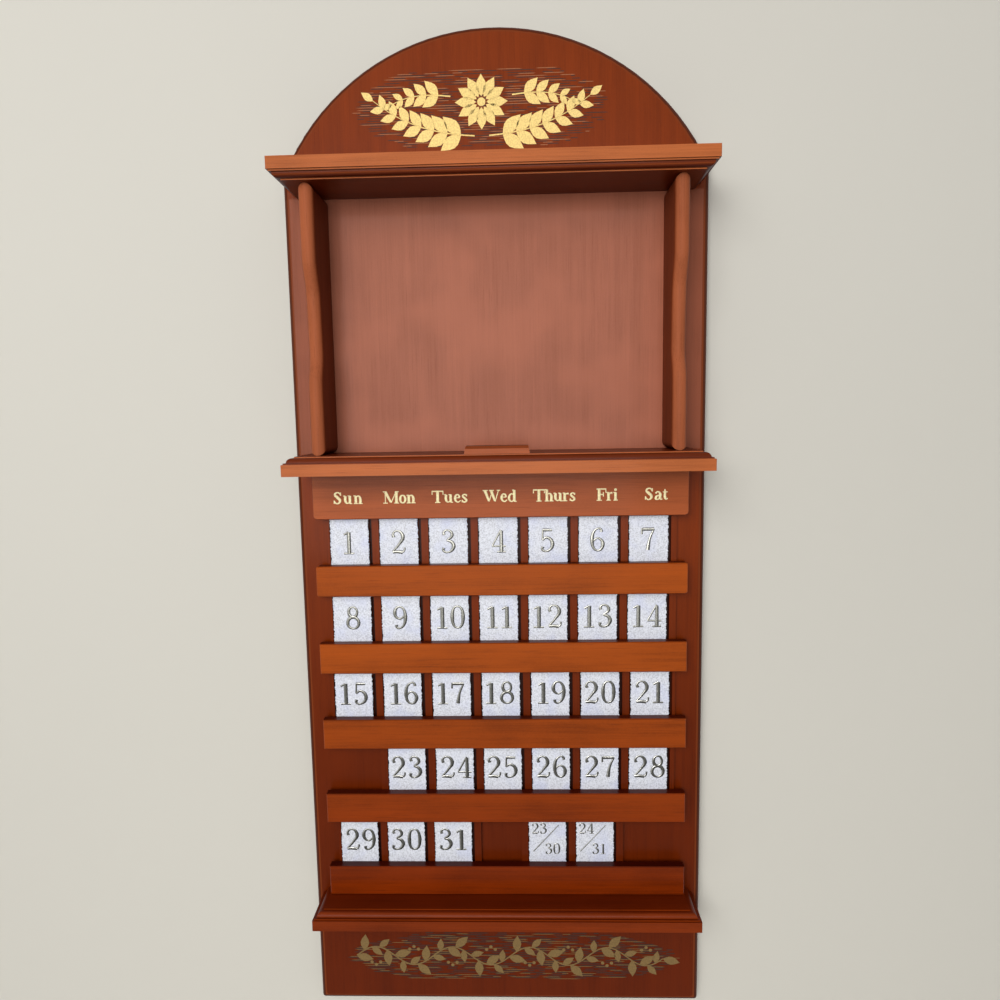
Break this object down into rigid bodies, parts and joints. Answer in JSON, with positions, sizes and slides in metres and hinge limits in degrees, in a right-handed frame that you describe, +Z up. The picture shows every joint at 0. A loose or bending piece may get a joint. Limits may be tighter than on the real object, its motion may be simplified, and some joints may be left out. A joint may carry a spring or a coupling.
{
  "type": "perpetual wall calendar",
  "caption": "Arched wooden wall calendar with moulded shelves, a display alcove and rows of loose numbered metal tiles that lift out from behind rebated rails.",
  "frame": {"origin": "middle of the back face of the back board, the face that lies against the wall", "axes": "+X to the right as seen from the front, +Z up, -Y out of the wall towards the viewer"},
  "size_m": [0.2946, 0.0654, 0.7168],
  "materials": {
    "board_wood": "red-brown stained veneer with upright grain, glossy varnish",
    "shelf_wood": "red-brown stained hardwood with grain along its length, glossy varnish",
    "rail_wood": "red-brown stained hardwood, glossy varnish, eased edges",
    "tile_metal": "cast white metal with a stippled ground and polished raised numerals",
    "screw_steel": "zinc plated screws",
    "gold_print": "matt gold foil print on the board",
    "cream_print": "cream printed lettering"
  },
  "bodies": {
    "calendar_case": {"back_board": "board_wood", "top_shelf": "shelf_wood", "mid_shelf": "shelf_wood", "bottom_shelf": "shelf_wood", "side_panel_left": "shelf_wood", "side_panel_right": "shelf_wood", "plate_stop": "shelf_wood", "header_strip": "rail_wood", "rail_1": "rail_wood", "rail_2": "rail_wood", "rail_3": "rail_wood", "rail_4": "rail_wood", "rail_5": "rail_wood", "dividers_row_1": "rail_wood", "dividers_row_2": "rail_wood", "dividers_row_3": "rail_wood", "dividers_row_4": "rail_wood", "dividers_row_5": "rail_wood", "shelf_screws": "screw_steel"},
    "tile_01": {"tile_01": "tile_metal"},
    "tile_02": {"tile_02": "tile_metal"},
    "tile_03": {"tile_03": "tile_metal"},
    "tile_04": {"tile_04": "tile_metal"},
    "tile_05": {"tile_05": "tile_metal"},
    "tile_06": {"tile_06": "tile_metal"},
    "tile_07": {"tile_07": "tile_metal"},
    "tile_08": {"tile_08": "tile_metal"},
    "tile_09": {"tile_09": "tile_metal"},
    "tile_10": {"tile_10": "tile_metal"},
    "tile_11": {"tile_11": "tile_metal"},
    "tile_12": {"tile_12": "tile_metal"},
    "tile_13": {"tile_13": "tile_metal"},
    "tile_14": {"tile_14": "tile_metal"},
    "tile_15": {"tile_15": "tile_metal"},
    "tile_16": {"tile_16": "tile_metal"},
    "tile_17": {"tile_17": "tile_metal"},
    "tile_18": {"tile_18": "tile_metal"},
    "tile_19": {"tile_19": "tile_metal"},
    "tile_20": {"tile_20": "tile_metal"},
    "tile_21": {"tile_21": "tile_metal"},
    "tile_23": {"tile_23": "tile_metal"},
    "tile_24": {"tile_24": "tile_metal"},
    "tile_25": {"tile_25": "tile_metal"},
    "tile_26": {"tile_26": "tile_metal"},
    "tile_27": {"tile_27": "tile_metal"},
    "tile_28": {"tile_28": "tile_metal"},
    "tile_29": {"tile_29": "tile_metal"},
    "tile_30": {"tile_30": "tile_metal"},
    "tile_31": {"tile_31": "tile_metal"},
    "tile_23_30": {"tile_23_30": "tile_metal"},
    "tile_24_31": {"tile_24_31": "tile_metal"}
  },
  "joints": [
    {"name": "lift_tile_01", "type": "slide", "parent": "calendar_case", "child": "tile_01", "axis": [0, 0, 1], "range_m": [0, 0.004]},
    {"name": "lift_tile_02", "type": "slide", "parent": "calendar_case", "child": "tile_02", "axis": [0, 0, 1], "range_m": [0, 0.004]},
    {"name": "lift_tile_03", "type": "slide", "parent": "calendar_case", "child": "tile_03", "axis": [0, 0, 1], "range_m": [0, 0.004]},
    {"name": "lift_tile_04", "type": "slide", "parent": "calendar_case", "child": "tile_04", "axis": [0, 0, 1], "range_m": [0, 0.004]},
    {"name": "lift_tile_05", "type": "slide", "parent": "calendar_case", "child": "tile_05", "axis": [0, 0, 1], "range_m": [0, 0.004]},
    {"name": "lift_tile_06", "type": "slide", "parent": "calendar_case", "child": "tile_06", "axis": [0, 0, 1], "range_m": [0, 0.004]},
    {"name": "lift_tile_07", "type": "slide", "parent": "calendar_case", "child": "tile_07", "axis": [0, 0, 1], "range_m": [0, 0.004]},
    {"name": "lift_tile_08", "type": "slide", "parent": "calendar_case", "child": "tile_08", "axis": [0, 0, 1], "range_m": [0, 0.004]},
    {"name": "lift_tile_09", "type": "slide", "parent": "calendar_case", "child": "tile_09", "axis": [0, 0, 1], "range_m": [0, 0.004]},
    {"name": "lift_tile_10", "type": "slide", "parent": "calendar_case", "child": "tile_10", "axis": [0, 0, 1], "range_m": [0, 0.004]},
    {"name": "lift_tile_11", "type": "slide", "parent": "calendar_case", "child": "tile_11", "axis": [0, 0, 1], "range_m": [0, 0.004]},
    {"name": "lift_tile_12", "type": "slide", "parent": "calendar_case", "child": "tile_12", "axis": [0, 0, 1], "range_m": [0, 0.004]},
    {"name": "lift_tile_13", "type": "slide", "parent": "calendar_case", "child": "tile_13", "axis": [0, 0, 1], "range_m": [0, 0.004]},
    {"name": "lift_tile_14", "type": "slide", "parent": "calendar_case", "child": "tile_14", "axis": [0, 0, 1], "range_m": [0, 0.004]},
    {"name": "lift_tile_15", "type": "slide", "parent": "calendar_case", "child": "tile_15", "axis": [0, 0, 1], "range_m": [0, 0.004]},
    {"name": "lift_tile_16", "type": "slide", "parent": "calendar_case", "child": "tile_16", "axis": [0, 0, 1], "range_m": [0, 0.004]},
    {"name": "lift_tile_17", "type": "slide", "parent": "calendar_case", "child": "tile_17", "axis": [0, 0, 1], "range_m": [0, 0.004]},
    {"name": "lift_tile_18", "type": "slide", "parent": "calendar_case", "child": "tile_18", "axis": [0, 0, 1], "range_m": [0, 0.004]},
    {"name": "lift_tile_19", "type": "slide", "parent": "calendar_case", "child": "tile_19", "axis": [0, 0, 1], "range_m": [0, 0.004]},
    {"name": "lift_tile_20", "type": "slide", "parent": "calendar_case", "child": "tile_20", "axis": [0, 0, 1], "range_m": [0, 0.004]},
    {"name": "lift_tile_21", "type": "slide", "parent": "calendar_case", "child": "tile_21", "axis": [0, 0, 1], "range_m": [0, 0.004]},
    {"name": "lift_tile_23", "type": "slide", "parent": "calendar_case", "child": "tile_23", "axis": [0, 0, 1], "range_m": [0, 0.004]},
    {"name": "lift_tile_24", "type": "slide", "parent": "calendar_case", "child": "tile_24", "axis": [0, 0, 1], "range_m": [0, 0.004]},
    {"name": "lift_tile_25", "type": "slide", "parent": "calendar_case", "child": "tile_25", "axis": [0, 0, 1], "range_m": [0, 0.004]},
    {"name": "lift_tile_26", "type": "slide", "parent": "calendar_case", "child": "tile_26", "axis": [0, 0, 1], "range_m": [0, 0.004]},
    {"name": "lift_tile_27", "type": "slide", "parent": "calendar_case", "child": "tile_27", "axis": [0, 0, 1], "range_m": [0, 0.004]},
    {"name": "lift_tile_28", "type": "slide", "parent": "calendar_case", "child": "tile_28", "axis": [0, 0, 1], "range_m": [0, 0.004]},
    {"name": "lift_tile_29", "type": "slide", "parent": "calendar_case", "child": "tile_29", "axis": [0, 0, 1], "range_m": [0, 0.004]},
    {"name": "lift_tile_30", "type": "slide", "parent": "calendar_case", "child": "tile_30", "axis": [0, 0, 1], "range_m": [0, 0.004]},
    {"name": "lift_tile_31", "type": "slide", "parent": "calendar_case", "child": "tile_31", "axis": [0, 0, 1], "range_m": [0, 0.004]},
    {"name": "lift_tile_23_30", "type": "slide", "parent": "calendar_case", "child": "tile_23_30", "axis": [0, 0, 1], "range_m": [0, 0.004]},
    {"name": "lift_tile_24_31", "type": "slide", "parent": "calendar_case", "child": "tile_24_31", "axis": [0, 0, 1], "range_m": [0, 0.004]}
  ]
}
